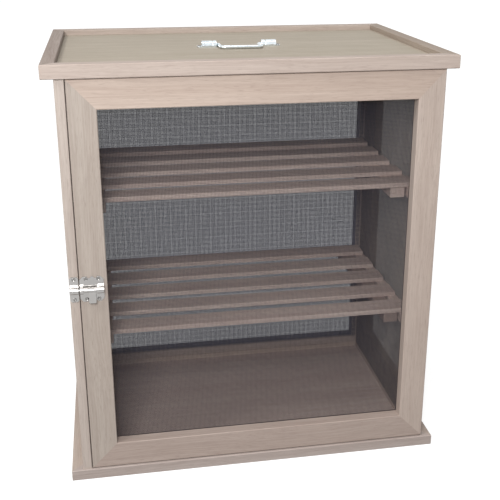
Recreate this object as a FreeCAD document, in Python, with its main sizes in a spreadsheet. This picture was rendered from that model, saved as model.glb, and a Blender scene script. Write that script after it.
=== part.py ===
"""Screened food cupboard: a framed wooden case with wire screens, two slatted racks and a mitred door.

Frame of the model: X to the right, Y into the depth, Z up, millimetres.  The origin is on the floor,
in the middle of the overall width and depth.  The door's front face is the plane Y = FRONT.
"""
import FreeCAD, Part
import math
import os

import Sketcher

os.makedirs("parts", exist_ok=True)
doc = FreeCAD.newDocument("FoodCupboard")
Vector = FreeCAD.Vector

# ---------------------------------------------------------------- driving dimensions
SIZES = [
    # case
    ("body_width", 480, "outside of the two side frames"),
    ("cabinet_depth", 303, "door front to the inner face of the back"),
    ("side_height", 530, "height of the side and back frames"),
    ("side_thickness", 12, "side frames"),
    ("side_stile_width", 58, "uprights of the side frames"),
    ("side_rail_width", 48, "rails of the side frames"),
    ("back_thickness", 18, "back frame"),
    ("back_stile_width", 20, "uprights of the back frame"),
    ("back_rail_width", 15, "rails of the back frame"),
    ("tenon_length", 8, "stub tenons of the side and back frames"),
    ("tenon_thickness", 4, "stub tenons"),
    ("tenon_shoulder", 4, "wood left above and below a tenon"),
    ("joint_clearance", 0.1, "tenon in its mortise"),
    ("arris", 0.8, "eased long edges"),
    # lid and base trays
    ("base_height", 15, "edge strips of the base"),
    ("lid_height", 17, "edge strips of the lid"),
    ("edge_width", 17, "full-height part of an edge strip"),
    ("base_recess", 7.5, "floor panel below the strips' top"),
    ("lid_recess", 7.5, "lid panel below the strips' top"),
    ("panel_thickness", 4, "plywood panels"),
    ("panel_clearance", 0.3, "panel inside its rebate, each side"),
    ("side_overhang", 15, "lid and base past the sides"),
    ("lid_front_overhang", 4, "lid past the door's face"),
    ("base_front_overhang", 2.5, "base past the door's face"),
    ("rear_overhang", 24, "lid and base past the back frame"),
    # door
    ("door_thickness", 18, "door frame"),
    ("door_stile_width", 34.5, "uprights of the door"),
    ("door_top_width", 37, "top rail of the door"),
    ("door_bottom_width", 35, "bottom rail of the door"),
    ("door_side_gap", 1, "door to the left side frame"),
    ("door_foot_gap", 1, "door above the base"),
    ("door_head_gap", 0.8, "door below the lid"),
    ("door_back_gap", 0.5, "closed door to the case behind it"),
    ("door_rebate_width", 8, "rebate for the screen, at the back of the door"),
    ("door_rebate_depth", 2.5, "rebate for the screen"),
    ("stop_width", 12, "door stop on the left side"),
    # screens
    ("screen_thickness", 0.5, "wire cloth"),
    ("screen_bar", 1.2, "band between two meshes of the open net"),
    ("screen_edge", 6, "closed border of the net"),
    ("screen_margin", 1, "screen inside the opening that it is fixed in"),
    # racks
    ("upper_rack_height", 385, "top of the upper slats above the floor"),
    ("lower_rack_height", 199, "top of the lower slats above the floor"),
    ("slat_width", 33, "slats"),
    ("slat_thickness", 6.5, "slats"),
    ("slat_end_gap", 4, "slat end to the side frame"),
    ("first_slat", 43, "door front to the first slat's front edge"),
    ("last_slat_gap", 0.5, "last slat to the back screen"),
    ("batten_width", 20, "cross battens under the slats"),
    ("batten_height", 14, "cross battens and cleats"),
    ("batten_gap", 3, "batten to the cleat beside it"),
    ("batten_setback", 2, "batten end behind the first slat's front edge"),
    ("cleat_width", 15, "cleats on the side frames"),
    ("cleat_setback", 4, "cleat end behind the closed door"),
    # hinges
    ("hinge_height", 40, "length of a hinge"),
    ("hinge_setoff", 80, "hinge centre from the door's end"),
    ("leaf_thickness", 1.2, "hinge leaf"),
    ("leaf_width", 14, "hinge leaf, from the pin"),
    ("knuckle_radius", 2.75, "hinge knuckle"),
    ("pin_axis_out", 3.2, "pin axis beyond the side's face"),
    ("pin_radius", 1.25, "hinge pin"),
    ("pin_clearance", 0.05, "pin in its knuckle"),
    ("knuckle_gap", 0.3, "between knuckles, and leaf to knuckle"),
    # screws
    ("screw_radius", 1.2, "shank of every screw"),
    ("screw_length", 9, "from the plate's outer face"),
    ("screw_head_radius", 2.5, "head"),
    ("screw_head_height", 1.2, "head"),
    ("pilot_clearance", 0.05, "shank in its hole"),
    ("hinge_screw_offset", 10, "screw from the pin axis"),
    ("hinge_screw_pitch", 26, "two screws of one leaf"),
    # barrel bolt
    ("bolt_height_above_floor", 280, "rod axis"),
    ("bolt_plate_width", 30, "plate on the door"),
    ("bolt_plate_height", 34, "plate on the door"),
    ("bolt_plate_thickness", 1, "plate"),
    ("bolt_corner", 4, "corners cut off the plate"),
    ("bolt_scallop_radius", 2.2, "bites in the plate's edges"),
    ("bolt_rod_radius", 3, "rod"),
    ("bolt_rod_clearance", 0.1, "rod in its straps"),
    ("strap_thickness", 0.8, "loop of the keeper; the straps of the plate are as high"),
    ("bolt_front_strap", 4.5, "strap beside the door's edge"),
    ("bolt_rear_strap", 8.5, "strap at the rod's tail"),
    ("bolt_travel", 6, "throw of the rod"),
    ("tab_width", 9, "thumb tab of the rod"),
    ("tab_thickness", 3.6, "thumb tab"),
    ("tab_drop", 17.5, "thumb tab below the rod's axis"),
    ("bolt_screw_inset", 3.2, "screws from the plate's top and bottom edges"),
    ("bolt_screw_left", 8, "screws from the plate's left edge"),
    ("bolt_screw_right", 6.5, "screws from the plate's right edge"),
    ("keeper_width", 11, "keeper on the case"),
    ("keeper_height", 34, "keeper on the case"),
    ("keeper_clearance", 0.9, "rod in the keeper's loop, and above the plates"),
    # drop handle
    ("handle_centre", 2.7, "handle's middle, right of the case's middle"),
    ("handle_span", 103, "between the outer faces of the two blocks"),
    ("block_length", 14.2, "handle block"),
    ("block_depth", 13, "handle block and ear"),
    ("block_height", 8.5, "handle block and ear"),
    ("ear_length", 6, "groove and ear, inside the block"),
    ("ear_groove", 1.2, "groove between block and ear"),
    ("ear_groove_depth", 1.5, "groove between block and ear"),
    ("flange_length", 6, "screw flange outside each block"),
    ("flange_thickness", 1.5, "screw flange"),
    ("handle_bar_radius", 2.4, "round bar of the bail"),
    ("handle_bar_clearance", 0.1, "bar in its block"),
    ("handle_bar_lift", 0.3, "resting bar above the panel"),
    ("handle_reach", 27, "pivot to the grip"),
    ("handle_pivot_bend", 3.5, "bend from the pivot into the arm"),
    ("handle_grip_bend", 6, "bend from the arm into the grip"),
    ("handle_arm_gap", 1.3, "bail's arm to the ear beside it"),
    ("handle_pivot_depth", 12, "bail end inside its ear and block"),
]


class Term:
    """A size, or a sum of sizes: `text` is the expression for the document, `value` its number."""

    def __init__(self, text, value):
        self.text = text
        self.value = value

    def __add__(self, other):
        other = term(other)
        return Term("(%s + %s)" % (self.text, other.text), self.value + other.value)

    def __radd__(self, other):
        return term(other) + self

    def __sub__(self, other):
        other = term(other)
        return Term("(%s - %s)" % (self.text, other.text), self.value - other.value)

    def __rsub__(self, other):
        return term(other) - self

    def __mul__(self, other):
        other = term(other)
        return Term("(%s * %s)" % (self.text, other.text), self.value * other.value)

    def __rmul__(self, other):
        return term(other) * self

    def __truediv__(self, other):
        other = term(other)
        return Term("(%s / %s)" % (self.text, other.text), self.value / other.value)

    def __neg__(self):
        return Term("(0 - %s)" % self.text, -self.value)


def term(size):
    """The size itself, or a plain number as a term."""
    if isinstance(size, Term):
        return size
    return Term("(%.6g)" % size, float(size))


class Named:
    """Holds one Term for each alias of the sheet."""


sheet = doc.addObject("Spreadsheet::Sheet", "Sizes")
S = Named()
for row, (alias, number, note) in enumerate(SIZES, 1):
    sheet.set("A%d" % row, alias)
    sheet.set("B%d" % row, str(number))
    sheet.set("C%d" % row, note)
    sheet.setAlias("B%d" % row, alias)
doc.recompute()
for alias, number, note in SIZES:
    setattr(S, alias, Term("Sizes." + alias, float(getattr(sheet, alias))))

# ---------------------------------------------------------------- places worked out from the sizes
HALF = S.body_width / 2
INNER = HALF - S.side_thickness
BOLT_STANDOFF = S.bolt_plate_thickness + S.keeper_clearance + S.bolt_rod_radius
STRAP_RADIUS = S.bolt_rod_radius + S.keeper_clearance + S.strap_thickness
BOLT_PROJECTION = BOLT_STANDOFF + STRAP_RADIUS
REAR_LENGTH = S.cabinet_depth + S.back_thickness + S.rear_overhang
FRONT = (BOLT_PROJECTION - REAR_LENGTH) / 2
BACK_INNER = FRONT + S.cabinet_depth
REAR = FRONT + REAR_LENGTH
SIDE_BOTTOM = S.base_height
SIDE_TOP = SIDE_BOTTOM + S.side_height
LID_TOP = SIDE_TOP + S.lid_height
DOOR_LEFT = S.door_side_gap - INNER
DOOR_BOTTOM = SIDE_BOTTOM + S.door_foot_gap
DOOR_TOP = SIDE_TOP - S.door_head_gap
DOOR_WIDTH = HALF - DOOR_LEFT
DOOR_HEIGHT = DOOR_TOP - DOOR_BOTTOM
DOOR_BACK = FRONT + S.door_thickness
CASE_FRONT = DOOR_BACK + S.door_back_gap
PIN_X = HALF + S.pin_axis_out
PIN_Y = DOOR_BACK + S.door_back_gap / 2
HINGE_CENTRES = {"lower": DOOR_BOTTOM + S.hinge_setoff, "upper": DOOR_TOP - S.hinge_setoff}
LID_PANEL_TOP = LID_TOP - S.lid_recess
HANDLE_RISE = S.handle_bar_lift + S.handle_bar_radius
HANDLE_AXIS_Z = LID_PANEL_TOP + HANDLE_RISE
BRACKET_LENGTH = S.block_length + S.ear_length
HANDLE_AXIS_Y = (FRONT - S.lid_front_overhang + REAR) / 2

X_AXIS, Y_AXIS, Z_AXIS = Vector(1, 0, 0), Vector(0, 1, 0), Vector(0, 0, 1)
NODES = []


# ---------------------------------------------------------------- building blocks
def new_body(name):
    body = doc.addObject("PartDesign::Body", name)
    body.Label = name
    NODES.append(body)
    return body


def lay(body, x, y, z, along=X_AXIS, across=Y_AXIS):
    """Put the body's own origin at x, y, z, with its X axis along and its Y axis across."""
    turned = FreeCAD.Rotation(along, across, along.cross(across), "XYZ")
    body.Placement = FreeCAD.Placement(Vector(0, 0, 0), turned)
    for axis, place in zip("xyz", (x, y, z)):
        body.setExpression("Placement.Base." + axis, term(place).text)
    return body


def sketch_on(body, role, name, lift=None):
    """A sketch on one of the body's own origin planes, lifted along the plane's normal."""
    sketch = body.newObject("Sketcher::SketchObject", "%s_%s" % (body.Name, name))
    support = [feature for feature in body.Origin.OriginFeatures if feature.Role == role][0]
    sketch.AttachmentSupport = (support, [""])
    sketch.MapMode = "FlatFace"
    if lift is not None:
        sketch.setExpression("AttachmentOffset.Base.z", term(lift).text)
    return sketch


def locate(sketch, geometry, point, x, y):
    """Hold one point of a sketch at x, y from the sketch's origin."""
    for kind, size in (("DistanceX", term(x)), ("DistanceY", term(y))):
        index = sketch.addConstraint(Sketcher.Constraint(kind, -1, 1, geometry, point, size.value))
        sketch.setExpression("Constraints[%d]" % index, size.text)


def outline(sketch, corners):
    """A closed outline of straight lines through the corners."""
    places = [(term(x), term(y)) for x, y in corners]
    first = sketch.GeometryCount
    count = len(places)
    for index in range(count):
        start, end = places[index], places[(index + 1) % count]
        sketch.addGeometry(Part.LineSegment(Vector(start[0].value, start[1].value, 0),
                                            Vector(end[0].value, end[1].value, 0)), False)
    for index in range(count):
        following = first + (index + 1) % count
        sketch.addConstraint(Sketcher.Constraint("Coincident", first + index, 2, following, 1))
        locate(sketch, first + index, 1, *places[index])
    return sketch


def circle(sketch, x, y, radius):
    radius = term(radius)
    centre = Vector(term(x).value, term(y).value, 0)
    index = sketch.addGeometry(Part.Circle(centre, Z_AXIS, radius.value), False)
    locate(sketch, index, 3, x, y)
    held = sketch.addConstraint(Sketcher.Constraint("Radius", index, radius.value))
    sketch.setExpression("Constraints[%d]" % held, radius.text)
    return sketch


def rectangle(x0, y0, x1, y1):
    return [(x0, y0), (x1, y0), (x1, y1), (x0, y1)]


def eased(corners, which=None):
    """The outline with a small flat across each named corner (all of them by default)."""
    places = [(term(x), term(y)) for x, y in corners]
    count = len(places)
    result = []
    for index, (x, y) in enumerate(places):
        if which is not None and index not in which:
            result.append((x, y))
            continue
        for neighbour in (places[index - 1], places[(index + 1) % count]):
            step_x = neighbour[0].value - x.value
            step_y = neighbour[1].value - y.value
            if abs(step_x) > abs(step_y):
                result.append((x + S.arris * math.copysign(1, step_x), y))
            else:
                result.append((x, y + S.arris * math.copysign(1, step_y)))
    return result


def pad(body, sketch, length, symmetric=False, reverse=False):
    feature = body.newObject("PartDesign::Pad", sketch.Name + "_pad")
    feature.Profile = sketch
    feature.setExpression("Length", term(length).text)
    if symmetric:
        feature.SideType = "Symmetric"
    feature.Reversed = reverse
    sketch.Visibility = False
    return feature


def pocket(body, sketch, depth=None, symmetric=False, reverse=False):
    """A cut against the sketch's normal, or along it when reversed; without a depth, through all."""
    feature = body.newObject("PartDesign::Pocket", sketch.Name + "_cut")
    feature.Profile = sketch
    if depth is None:
        feature.Type = "ThroughAll"
    else:
        feature.setExpression("Length", term(depth).text)
    if symmetric:
        feature.SideType = "Symmetric"
    feature.Reversed = reverse
    sketch.Visibility = False
    return feature


def drill(body, name, role, centres, depth, lift=None, reverse=False):
    """Pilot holes for screws, from one of the body's planes into the wood."""
    holes = sketch_on(body, role, name, lift)
    for x, y in centres:
        circle(holes, x, y, S.screw_radius + S.pilot_clearance)
    return pocket(body, holes, depth, reverse=reverse)


# ---------------------------------------------------------------- wooden pieces
def strip(name, length, width, thickness):
    """A planed strip: X along it, Y across its width, Z through its thickness, all from zero."""
    body = new_body(name)
    section = outline(sketch_on(body, "YZ_Plane", "section"), eased(rectangle(0, 0, width, thickness)))
    pad(body, section, length)
    return body


def mitred(name, section, length, width, start_run, end_run, square=0):
    """A moulding cut to a mitre at both ends.

    X runs along it from its middle, Y inwards from its outer edge, Z through its thickness.  Over the
    moulding's width, each mitre takes back the width of the piece that it meets.  A moulding that is
    wider than its neighbours goes on inwards with square ends, by the length `square`.
    """
    body = new_body(name)
    profile = outline(sketch_on(body, "YZ_Plane", "section"), section)
    pad(body, profile, length, symmetric=True)
    half, over = length / 2, 1
    cuts = sketch_on(body, "XY_Plane", "mitres")
    for side, run in ((-1, start_run), (1, end_run)):
        slope = term(run) / width
        corner = [((half - slope * (width + over)) * side, width + over)]
        if square:
            corner = [((half - run) * side, width + square + over), ((half - run) * side, width)]
        outline(cuts, [(half * side, 0), ((half + over) * side, 0),
                       ((half + over) * side, width + over + square)] + corner)
    pocket(body, cuts, symmetric=True)
    return body


def framed_stile(name, length, width, thickness, rail_width):
    """An upright with two stopped mortises in its inner edge; Z runs from the middle of its thickness."""
    body = new_body(name)
    section = rectangle(0, -(thickness / 2), width, thickness / 2)
    pad(body, outline(sketch_on(body, "YZ_Plane", "section"), eased(section)), length)
    mortises = sketch_on(body, "XY_Plane", "mortises")
    slack = S.joint_clearance
    depth = S.tenon_length + slack
    for low in (term(0), length - rail_width):
        outline(mortises, rectangle(low + S.tenon_shoulder - slack, width - depth,
                                    low + rail_width - S.tenon_shoulder + slack, width + 1))
    pocket(body, mortises, S.tenon_thickness + slack * 2, symmetric=True)
    return body


def framed_rail(name, length, width, thickness):
    """A rail with a stub tenon at each end; X runs from one shoulder, Z from mid thickness."""
    body = new_body(name)
    section = rectangle(0, -(thickness / 2), width, thickness / 2)
    pad(body, outline(sketch_on(body, "YZ_Plane", "section"), eased(section)), length)
    tongue = rectangle(S.tenon_shoulder, -(S.tenon_thickness / 2),
                       width - S.tenon_shoulder, S.tenon_thickness / 2)
    core = outline(sketch_on(body, "YZ_Plane", "tenons", -S.tenon_length), tongue)
    pad(body, core, length + S.tenon_length * 2)
    return body


def panel(name, width, depth, thickness, holes=()):
    body = new_body(name)
    pad(body, outline(sketch_on(body, "XY_Plane", "sheet"),
                      rectangle(-(width / 2), -(depth / 2), width / 2, depth / 2)), thickness)
    if holes:
        drill(body, "screw_holes", "XY_Plane", holes, thickness, reverse=True)
    return body


# meshes of a screen: across the door's and the back's, across a side's, and up all of them
WIDE_COLUMNS = 9
SIDE_COLUMNS = 5
SCREEN_ROWS = 11


def net(name, width, height, columns, rows, along, across, x, y, z):
    """Wire cloth, drawn as one holed sheet: X across it, Y up it, Z through it from its middle."""
    border, bar = S.screen_edge.value, S.screen_bar.value
    thickness = S.screen_thickness.value
    pitch_x = (width.value - 2 * border + bar) / columns
    pitch_y = (height.value - 2 * border + bar) / rows

    def loop(x0, y0, x1, y1):
        corners = [Vector(px, py, -thickness / 2) for px, py in rectangle(x0, y0, x1, y1)]
        return Part.makePolygon(corners + corners[:1])

    wires = [loop(0, 0, width.value, height.value)]
    for column in range(columns):
        for row in range(rows):
            low_x = border + column * pitch_x
            low_y = border + row * pitch_y
            wires.append(loop(low_x, low_y, low_x + pitch_x - bar, low_y + pitch_y - bar))
    face = Part.Face(wires, "Part::FaceMakerBullseye")
    sheet_piece = doc.addObject("Part::Feature", name)
    sheet_piece.Label = name
    sheet_piece.Shape = face.extrude(Vector(0, 0, thickness))
    turned = FreeCAD.Rotation(along, across, along.cross(across), "XYZ")
    sheet_piece.Placement = FreeCAD.Placement(Vector(term(x).value, term(y).value, term(z).value), turned)
    NODES.append(sheet_piece)
    return sheet_piece


# ---------------------------------------------------------------- base and lid: two mitred trays
# an edge strip's ledge, which carries the panel, reaches in to the inner face of the wall on it
RIM = S.side_overhang + S.side_thickness
TRAY_WIDTH = S.body_width + S.side_overhang * 2


REAR_EXTRA = REAR - BACK_INNER - RIM


def edge_strips(prefix, tray_section, front_overhang, height_of_tray):
    """Four strips round a tray, each with its outer edge on the tray's outline.

    The rear strip is wider: it reaches to the inner face of the back frame, as the others reach to
    the inner faces of the sides.
    """
    depth = front_overhang + REAR_LENGTH
    tray_front = FRONT - front_overhang
    middle_y = (tray_front + REAR) / 2
    half_width = TRAY_WIDTH / 2
    pieces = (
        ("front", TRAY_WIDTH, 0, tray_front, X_AXIS, Y_AXIS, 0),
        ("right", depth, half_width, middle_y, Y_AXIS, -X_AXIS, 0),
        ("rear", TRAY_WIDTH, 0, REAR, -X_AXIS, -Y_AXIS, REAR_EXTRA),
        ("left", depth, -half_width, middle_y, -Y_AXIS, X_AXIS, 0),
    )
    for side, length, x, y, along, across, extra in pieces:
        piece = mitred("%s_edge_%s" % (prefix, side), tray_section(RIM + extra), length, RIM, RIM, RIM, extra)
        lay(piece, x, y, height_of_tray, along, across)
    return middle_y, depth


def base_section(rim):
    """The floor panel lies below the ledge."""
    ledge = S.base_height - S.base_recess
    return eased([(0, 0), (S.edge_width, 0), (S.edge_width, ledge), (rim, ledge),
                  (rim, S.base_height), (0, S.base_height)], (0, 5))


def lid_section(rim):
    """The lid panel lies on the ledge."""
    ledge = S.lid_height - S.lid_recess - S.panel_thickness
    return eased([(0, 0), (rim, 0), (rim, ledge), (S.edge_width, ledge),
                  (S.edge_width, S.lid_height), (0, S.lid_height)], (0, 4, 5))


base_middle_y, base_depth = edge_strips("base", base_section, S.base_front_overhang, 0)
lid_middle_y, lid_depth = edge_strips("lid", lid_section, S.lid_front_overhang, SIDE_TOP)


def tray_panel_size(depth):
    inset = (S.edge_width + S.panel_clearance) * 2
    return TRAY_WIDTH - inset, depth - inset


floor_panel = panel("floor_panel", *tray_panel_size(base_depth), S.panel_thickness)
lay(floor_panel, 0, base_middle_y, S.base_height - S.base_recess - S.panel_thickness)

HANDLE_FLANGE_X = S.handle_span / 2 + S.flange_length / 2
handle_screw_places = [(S.handle_centre + HANDLE_FLANGE_X * side, HANDLE_AXIS_Y) for side in (-1, 1)]
lid_panel = panel("lid_panel", *tray_panel_size(lid_depth), S.panel_thickness,
                  [(x, y - lid_middle_y) for x, y in handle_screw_places])
lay(lid_panel, 0, lid_middle_y, LID_PANEL_TOP - S.panel_thickness)

# ---------------------------------------------------------------- side frames
SIDE_MIDDLE = HALF - S.side_thickness / 2
STILE_BACK = CASE_FRONT + S.side_stile_width
KEEPER_MIDDLE = INNER + S.side_thickness / 2
keeper_screw_z = [S.bolt_height_above_floor + (S.keeper_height / 2 - S.bolt_screw_inset) * side
                  for side in (-1, 1)]
hinge_screw_z = [centre + S.hinge_screw_pitch / 2 * side
                 for centre in HINGE_CENTRES.values() for side in (-1, 1)]

for side, sign, stile_front in (("left", -1, FRONT), ("right", 1, CASE_FRONT)):
    front_width = STILE_BACK - stile_front
    front = framed_stile(side + "_front_stile", S.side_height, front_width, S.side_thickness,
                         S.side_rail_width)
    lay(front, SIDE_MIDDLE * sign, stile_front, SIDE_BOTTOM, Z_AXIS, Y_AXIS)
    rear = framed_stile(side + "_rear_stile", S.side_height, S.side_stile_width, S.side_thickness,
                        S.side_rail_width)
    lay(rear, SIDE_MIDDLE * sign, BACK_INNER, SIDE_BOTTOM, Z_AXIS, -Y_AXIS)
    rail_length = BACK_INNER - S.side_stile_width - STILE_BACK
    low = framed_rail(side + "_bottom_rail", rail_length, S.side_rail_width, S.side_thickness)
    lay(low, SIDE_MIDDLE * sign, STILE_BACK, SIDE_BOTTOM, Y_AXIS, Z_AXIS)
    high = framed_rail(side + "_top_rail", rail_length, S.side_rail_width, S.side_thickness)
    lay(high, SIDE_MIDDLE * sign, STILE_BACK, SIDE_TOP, Y_AXIS, -Z_AXIS)
    if side == "left":
        drill(front, "keeper_holes", "XZ_Plane",
              [(z - SIDE_BOTTOM, 0) for z in keeper_screw_z], S.screw_length)
    else:
        # the stile's own Z axis points to the left here, so its outer face is at minus half
        drill(front, "hinge_holes", "XY_Plane",
              [(z - SIDE_BOTTOM, PIN_Y + S.hinge_screw_offset - CASE_FRONT) for z in hinge_screw_z],
              S.screw_length, -(S.side_thickness / 2), reverse=True)

SCREEN_DEPTH = BACK_INNER - S.screen_thickness - CASE_FRONT - S.stop_width - S.screen_margin * 2
SCREEN_HEIGHT = S.side_height - S.screen_margin * 2
for side, sign in (("left", -1), ("right", 1)):
    net(side + "_side_screen", SCREEN_DEPTH, SCREEN_HEIGHT, SIDE_COLUMNS, SCREEN_ROWS, Y_AXIS, Z_AXIS,
        (INNER - S.screen_thickness / 2) * sign, CASE_FRONT + S.stop_width + S.screen_margin,
        SIDE_BOTTOM + S.screen_margin)

door_stop = strip("door_stop", S.side_height, S.stop_width, S.stop_width)
lay(door_stop, -INNER, CASE_FRONT, SIDE_BOTTOM, Z_AXIS, X_AXIS)

# ---------------------------------------------------------------- back frame
BACK_MIDDLE = BACK_INNER + S.back_thickness / 2
back_rail_length = S.body_width - S.back_stile_width * 2
for side, sign in (("left", -1), ("right", 1)):
    stile = framed_stile("back_%s_stile" % side, S.side_height, S.back_stile_width, S.back_thickness,
                         S.back_rail_width)
    lay(stile, HALF * sign, BACK_MIDDLE, SIDE_BOTTOM, Z_AXIS, X_AXIS * -sign)
for place, height, across in (("bottom", SIDE_BOTTOM, Z_AXIS), ("top", SIDE_TOP, -Z_AXIS)):
    rail = framed_rail("back_%s_rail" % place, back_rail_length, S.back_rail_width, S.back_thickness)
    lay(rail, S.back_stile_width - HALF, BACK_MIDDLE, height, X_AXIS, across)
back_screen_width = INNER * 2 - S.screen_margin * 2
net("back_screen", back_screen_width, SCREEN_HEIGHT, WIDE_COLUMNS, SCREEN_ROWS, X_AXIS, Z_AXIS,
    -(back_screen_width / 2), BACK_INNER - S.screen_thickness / 2, SIDE_BOTTOM + S.screen_margin)

# ---------------------------------------------------------------- two slatted racks on cleats
SLAT_COUNT = 5
CLEAT_LENGTH = BACK_INNER - S.screen_thickness - S.screen_margin - CASE_FRONT - S.stop_width - S.cleat_setback
SLAT_LENGTH = (INNER - S.slat_end_gap) * 2
rack_depth = BACK_INNER - S.screen_thickness - S.last_slat_gap - FRONT - S.first_slat
SLAT_PITCH = (rack_depth - S.slat_width) / (SLAT_COUNT - 1)
BATTEN_LENGTH = rack_depth - S.batten_setback * 2
CLEAT_INNER = INNER - S.screen_thickness - S.cleat_width
for rack, top in (("upper", S.upper_rack_height), ("lower", S.lower_rack_height)):
    underside = top - S.slat_thickness
    for number in range(SLAT_COUNT):
        slat = strip("%s_slat_%d" % (rack, number + 1), SLAT_LENGTH, S.slat_width, S.slat_thickness)
        lay(slat, -(SLAT_LENGTH / 2), FRONT + S.first_slat + SLAT_PITCH * number, underside)
    for side, sign in (("left", -1), ("right", 1)):
        batten = strip("%s_batten_%s" % (rack, side), BATTEN_LENGTH, S.batten_width, S.batten_height)
        outer = CLEAT_INNER - S.batten_gap
        lay(batten, outer * sign if sign > 0 else S.batten_width - outer,
            FRONT + S.first_slat + S.batten_setback, underside - S.batten_height, Y_AXIS, -X_AXIS)
        cleat = strip("%s_cleat_%s" % (rack, side), CLEAT_LENGTH, S.cleat_width, S.batten_height)
        face = INNER - S.screen_thickness
        lay(cleat, face if sign > 0 else S.cleat_width - face,
            CASE_FRONT + S.stop_width + S.cleat_setback, underside - S.batten_height, Y_AXIS, -X_AXIS)

# ---------------------------------------------------------------- door
REBATE = S.door_rebate_width


def door_section(width):
    """From the back of the door (Z = 0) to its face, with the rebate that takes the screen."""
    corners = [(0, 0), (width - REBATE, 0), (width - REBATE, S.door_rebate_depth),
               (width, S.door_rebate_depth), (width, S.door_thickness), (0, S.door_thickness)]
    return eased(corners, (0, 4, 5))


door_middle_x = DOOR_LEFT + DOOR_WIDTH / 2
door_middle_z = DOOR_BOTTOM + DOOR_HEIGHT / 2
stile_w, top_w, bottom_w = S.door_stile_width, S.door_top_width, S.door_bottom_width
door_bottom_rail = mitred("door_bottom_rail", door_section(bottom_w), DOOR_WIDTH, bottom_w, stile_w, stile_w)
lay(door_bottom_rail, door_middle_x, DOOR_BACK, DOOR_BOTTOM, X_AXIS, Z_AXIS)
door_right_stile = mitred("door_right_stile", door_section(stile_w), DOOR_HEIGHT, stile_w, bottom_w, top_w)
lay(door_right_stile, HALF, DOOR_BACK, door_middle_z, Z_AXIS, -X_AXIS)
door_top_rail = mitred("door_top_rail", door_section(top_w), DOOR_WIDTH, top_w, stile_w, stile_w)
lay(door_top_rail, door_middle_x, DOOR_BACK, DOOR_TOP, -X_AXIS, -Z_AXIS)
door_left_stile = mitred("door_left_stile", door_section(stile_w), DOOR_HEIGHT, stile_w, top_w, bottom_w)
lay(door_left_stile, DOOR_LEFT, DOOR_BACK, door_middle_z, -Z_AXIS, X_AXIS)

# screws of the hinges go into the right stile's outer edge, those of the bolt into the left one's face
drill(door_right_stile, "hinge_holes", "XZ_Plane",
      [(z - door_middle_z, DOOR_BACK - PIN_Y + S.hinge_screw_offset) for z in hinge_screw_z],
      S.screw_length)
BOLT_RIGHT = DOOR_LEFT + S.bolt_plate_width
bolt_screw_x = (DOOR_LEFT + S.bolt_screw_left, BOLT_RIGHT - S.bolt_screw_right)
bolt_screw_z = [S.bolt_height_above_floor + (S.bolt_plate_height / 2 - S.bolt_screw_inset) * side
                for side in (-1, 1)]
drill(door_left_stile, "bolt_holes", "XY_Plane",
      [(door_middle_z - z, x - DOOR_LEFT) for x in bolt_screw_x for z in bolt_screw_z],
      S.screw_length, S.door_thickness)

screen_width = DOOR_WIDTH - (stile_w - REBATE + S.panel_clearance) * 2
screen_height = DOOR_HEIGHT - top_w - bottom_w + (REBATE - S.panel_clearance) * 2
screen_left = DOOR_LEFT + stile_w - REBATE + S.panel_clearance
screen_low = DOOR_BOTTOM + bottom_w - REBATE + S.panel_clearance
SCREEN_FACE = DOOR_BACK - S.door_rebate_depth
net("door_screen", screen_width, screen_height, WIDE_COLUMNS, SCREEN_ROWS, X_AXIS, Z_AXIS,
    screen_left, SCREEN_FACE + S.screen_thickness / 2, screen_low)


def bead(length):
    """One mitred bead, X from its middle, Y inwards, Z forwards from the door's back."""
    width = REBATE.value - S.panel_clearance.value
    thick = S.door_rebate_depth.value - S.screen_thickness.value
    half = length.value / 2
    corners = [Vector(-half, 0, 0), Vector(half, 0, 0), Vector(half - width, width, 0),
               Vector(width - half, width, 0)]
    face = Part.Face(Part.makePolygon(corners + corners[:1]))
    return face.extrude(Vector(0, 0, thick))


def group(name, shapes):
    """Equal small pieces that share one node."""
    feature = doc.addObject("Part::Feature", name)
    feature.Label = name
    feature.Shape = Part.Compound(shapes)
    NODES.append(feature)
    return feature


def placed(shape, x, y, z, along=X_AXIS, across=Y_AXIS):
    copy = shape.copy()
    turned = FreeCAD.Rotation(along, across, along.cross(across), "XYZ")
    copy.Placement = FreeCAD.Placement(Vector(term(x).value, term(y).value, term(z).value), turned)
    return copy


screen_middle_x = screen_left + screen_width / 2
screen_middle_z = screen_low + screen_height / 2
group("door_screen_beads", [
    placed(bead(screen_width), screen_middle_x, DOOR_BACK, screen_low, X_AXIS, Z_AXIS),
    placed(bead(screen_height), screen_left + screen_width, DOOR_BACK, screen_middle_z, Z_AXIS, -X_AXIS),
    placed(bead(screen_width), screen_middle_x, DOOR_BACK, screen_low + screen_height, -X_AXIS, -Z_AXIS),
    placed(bead(screen_height), screen_left, DOOR_BACK, screen_middle_z, -Z_AXIS, X_AXIS),
])

# ---------------------------------------------------------------- hinges
KNUCKLE = (S.hinge_height - S.knuckle_gap * 2) / 3


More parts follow.
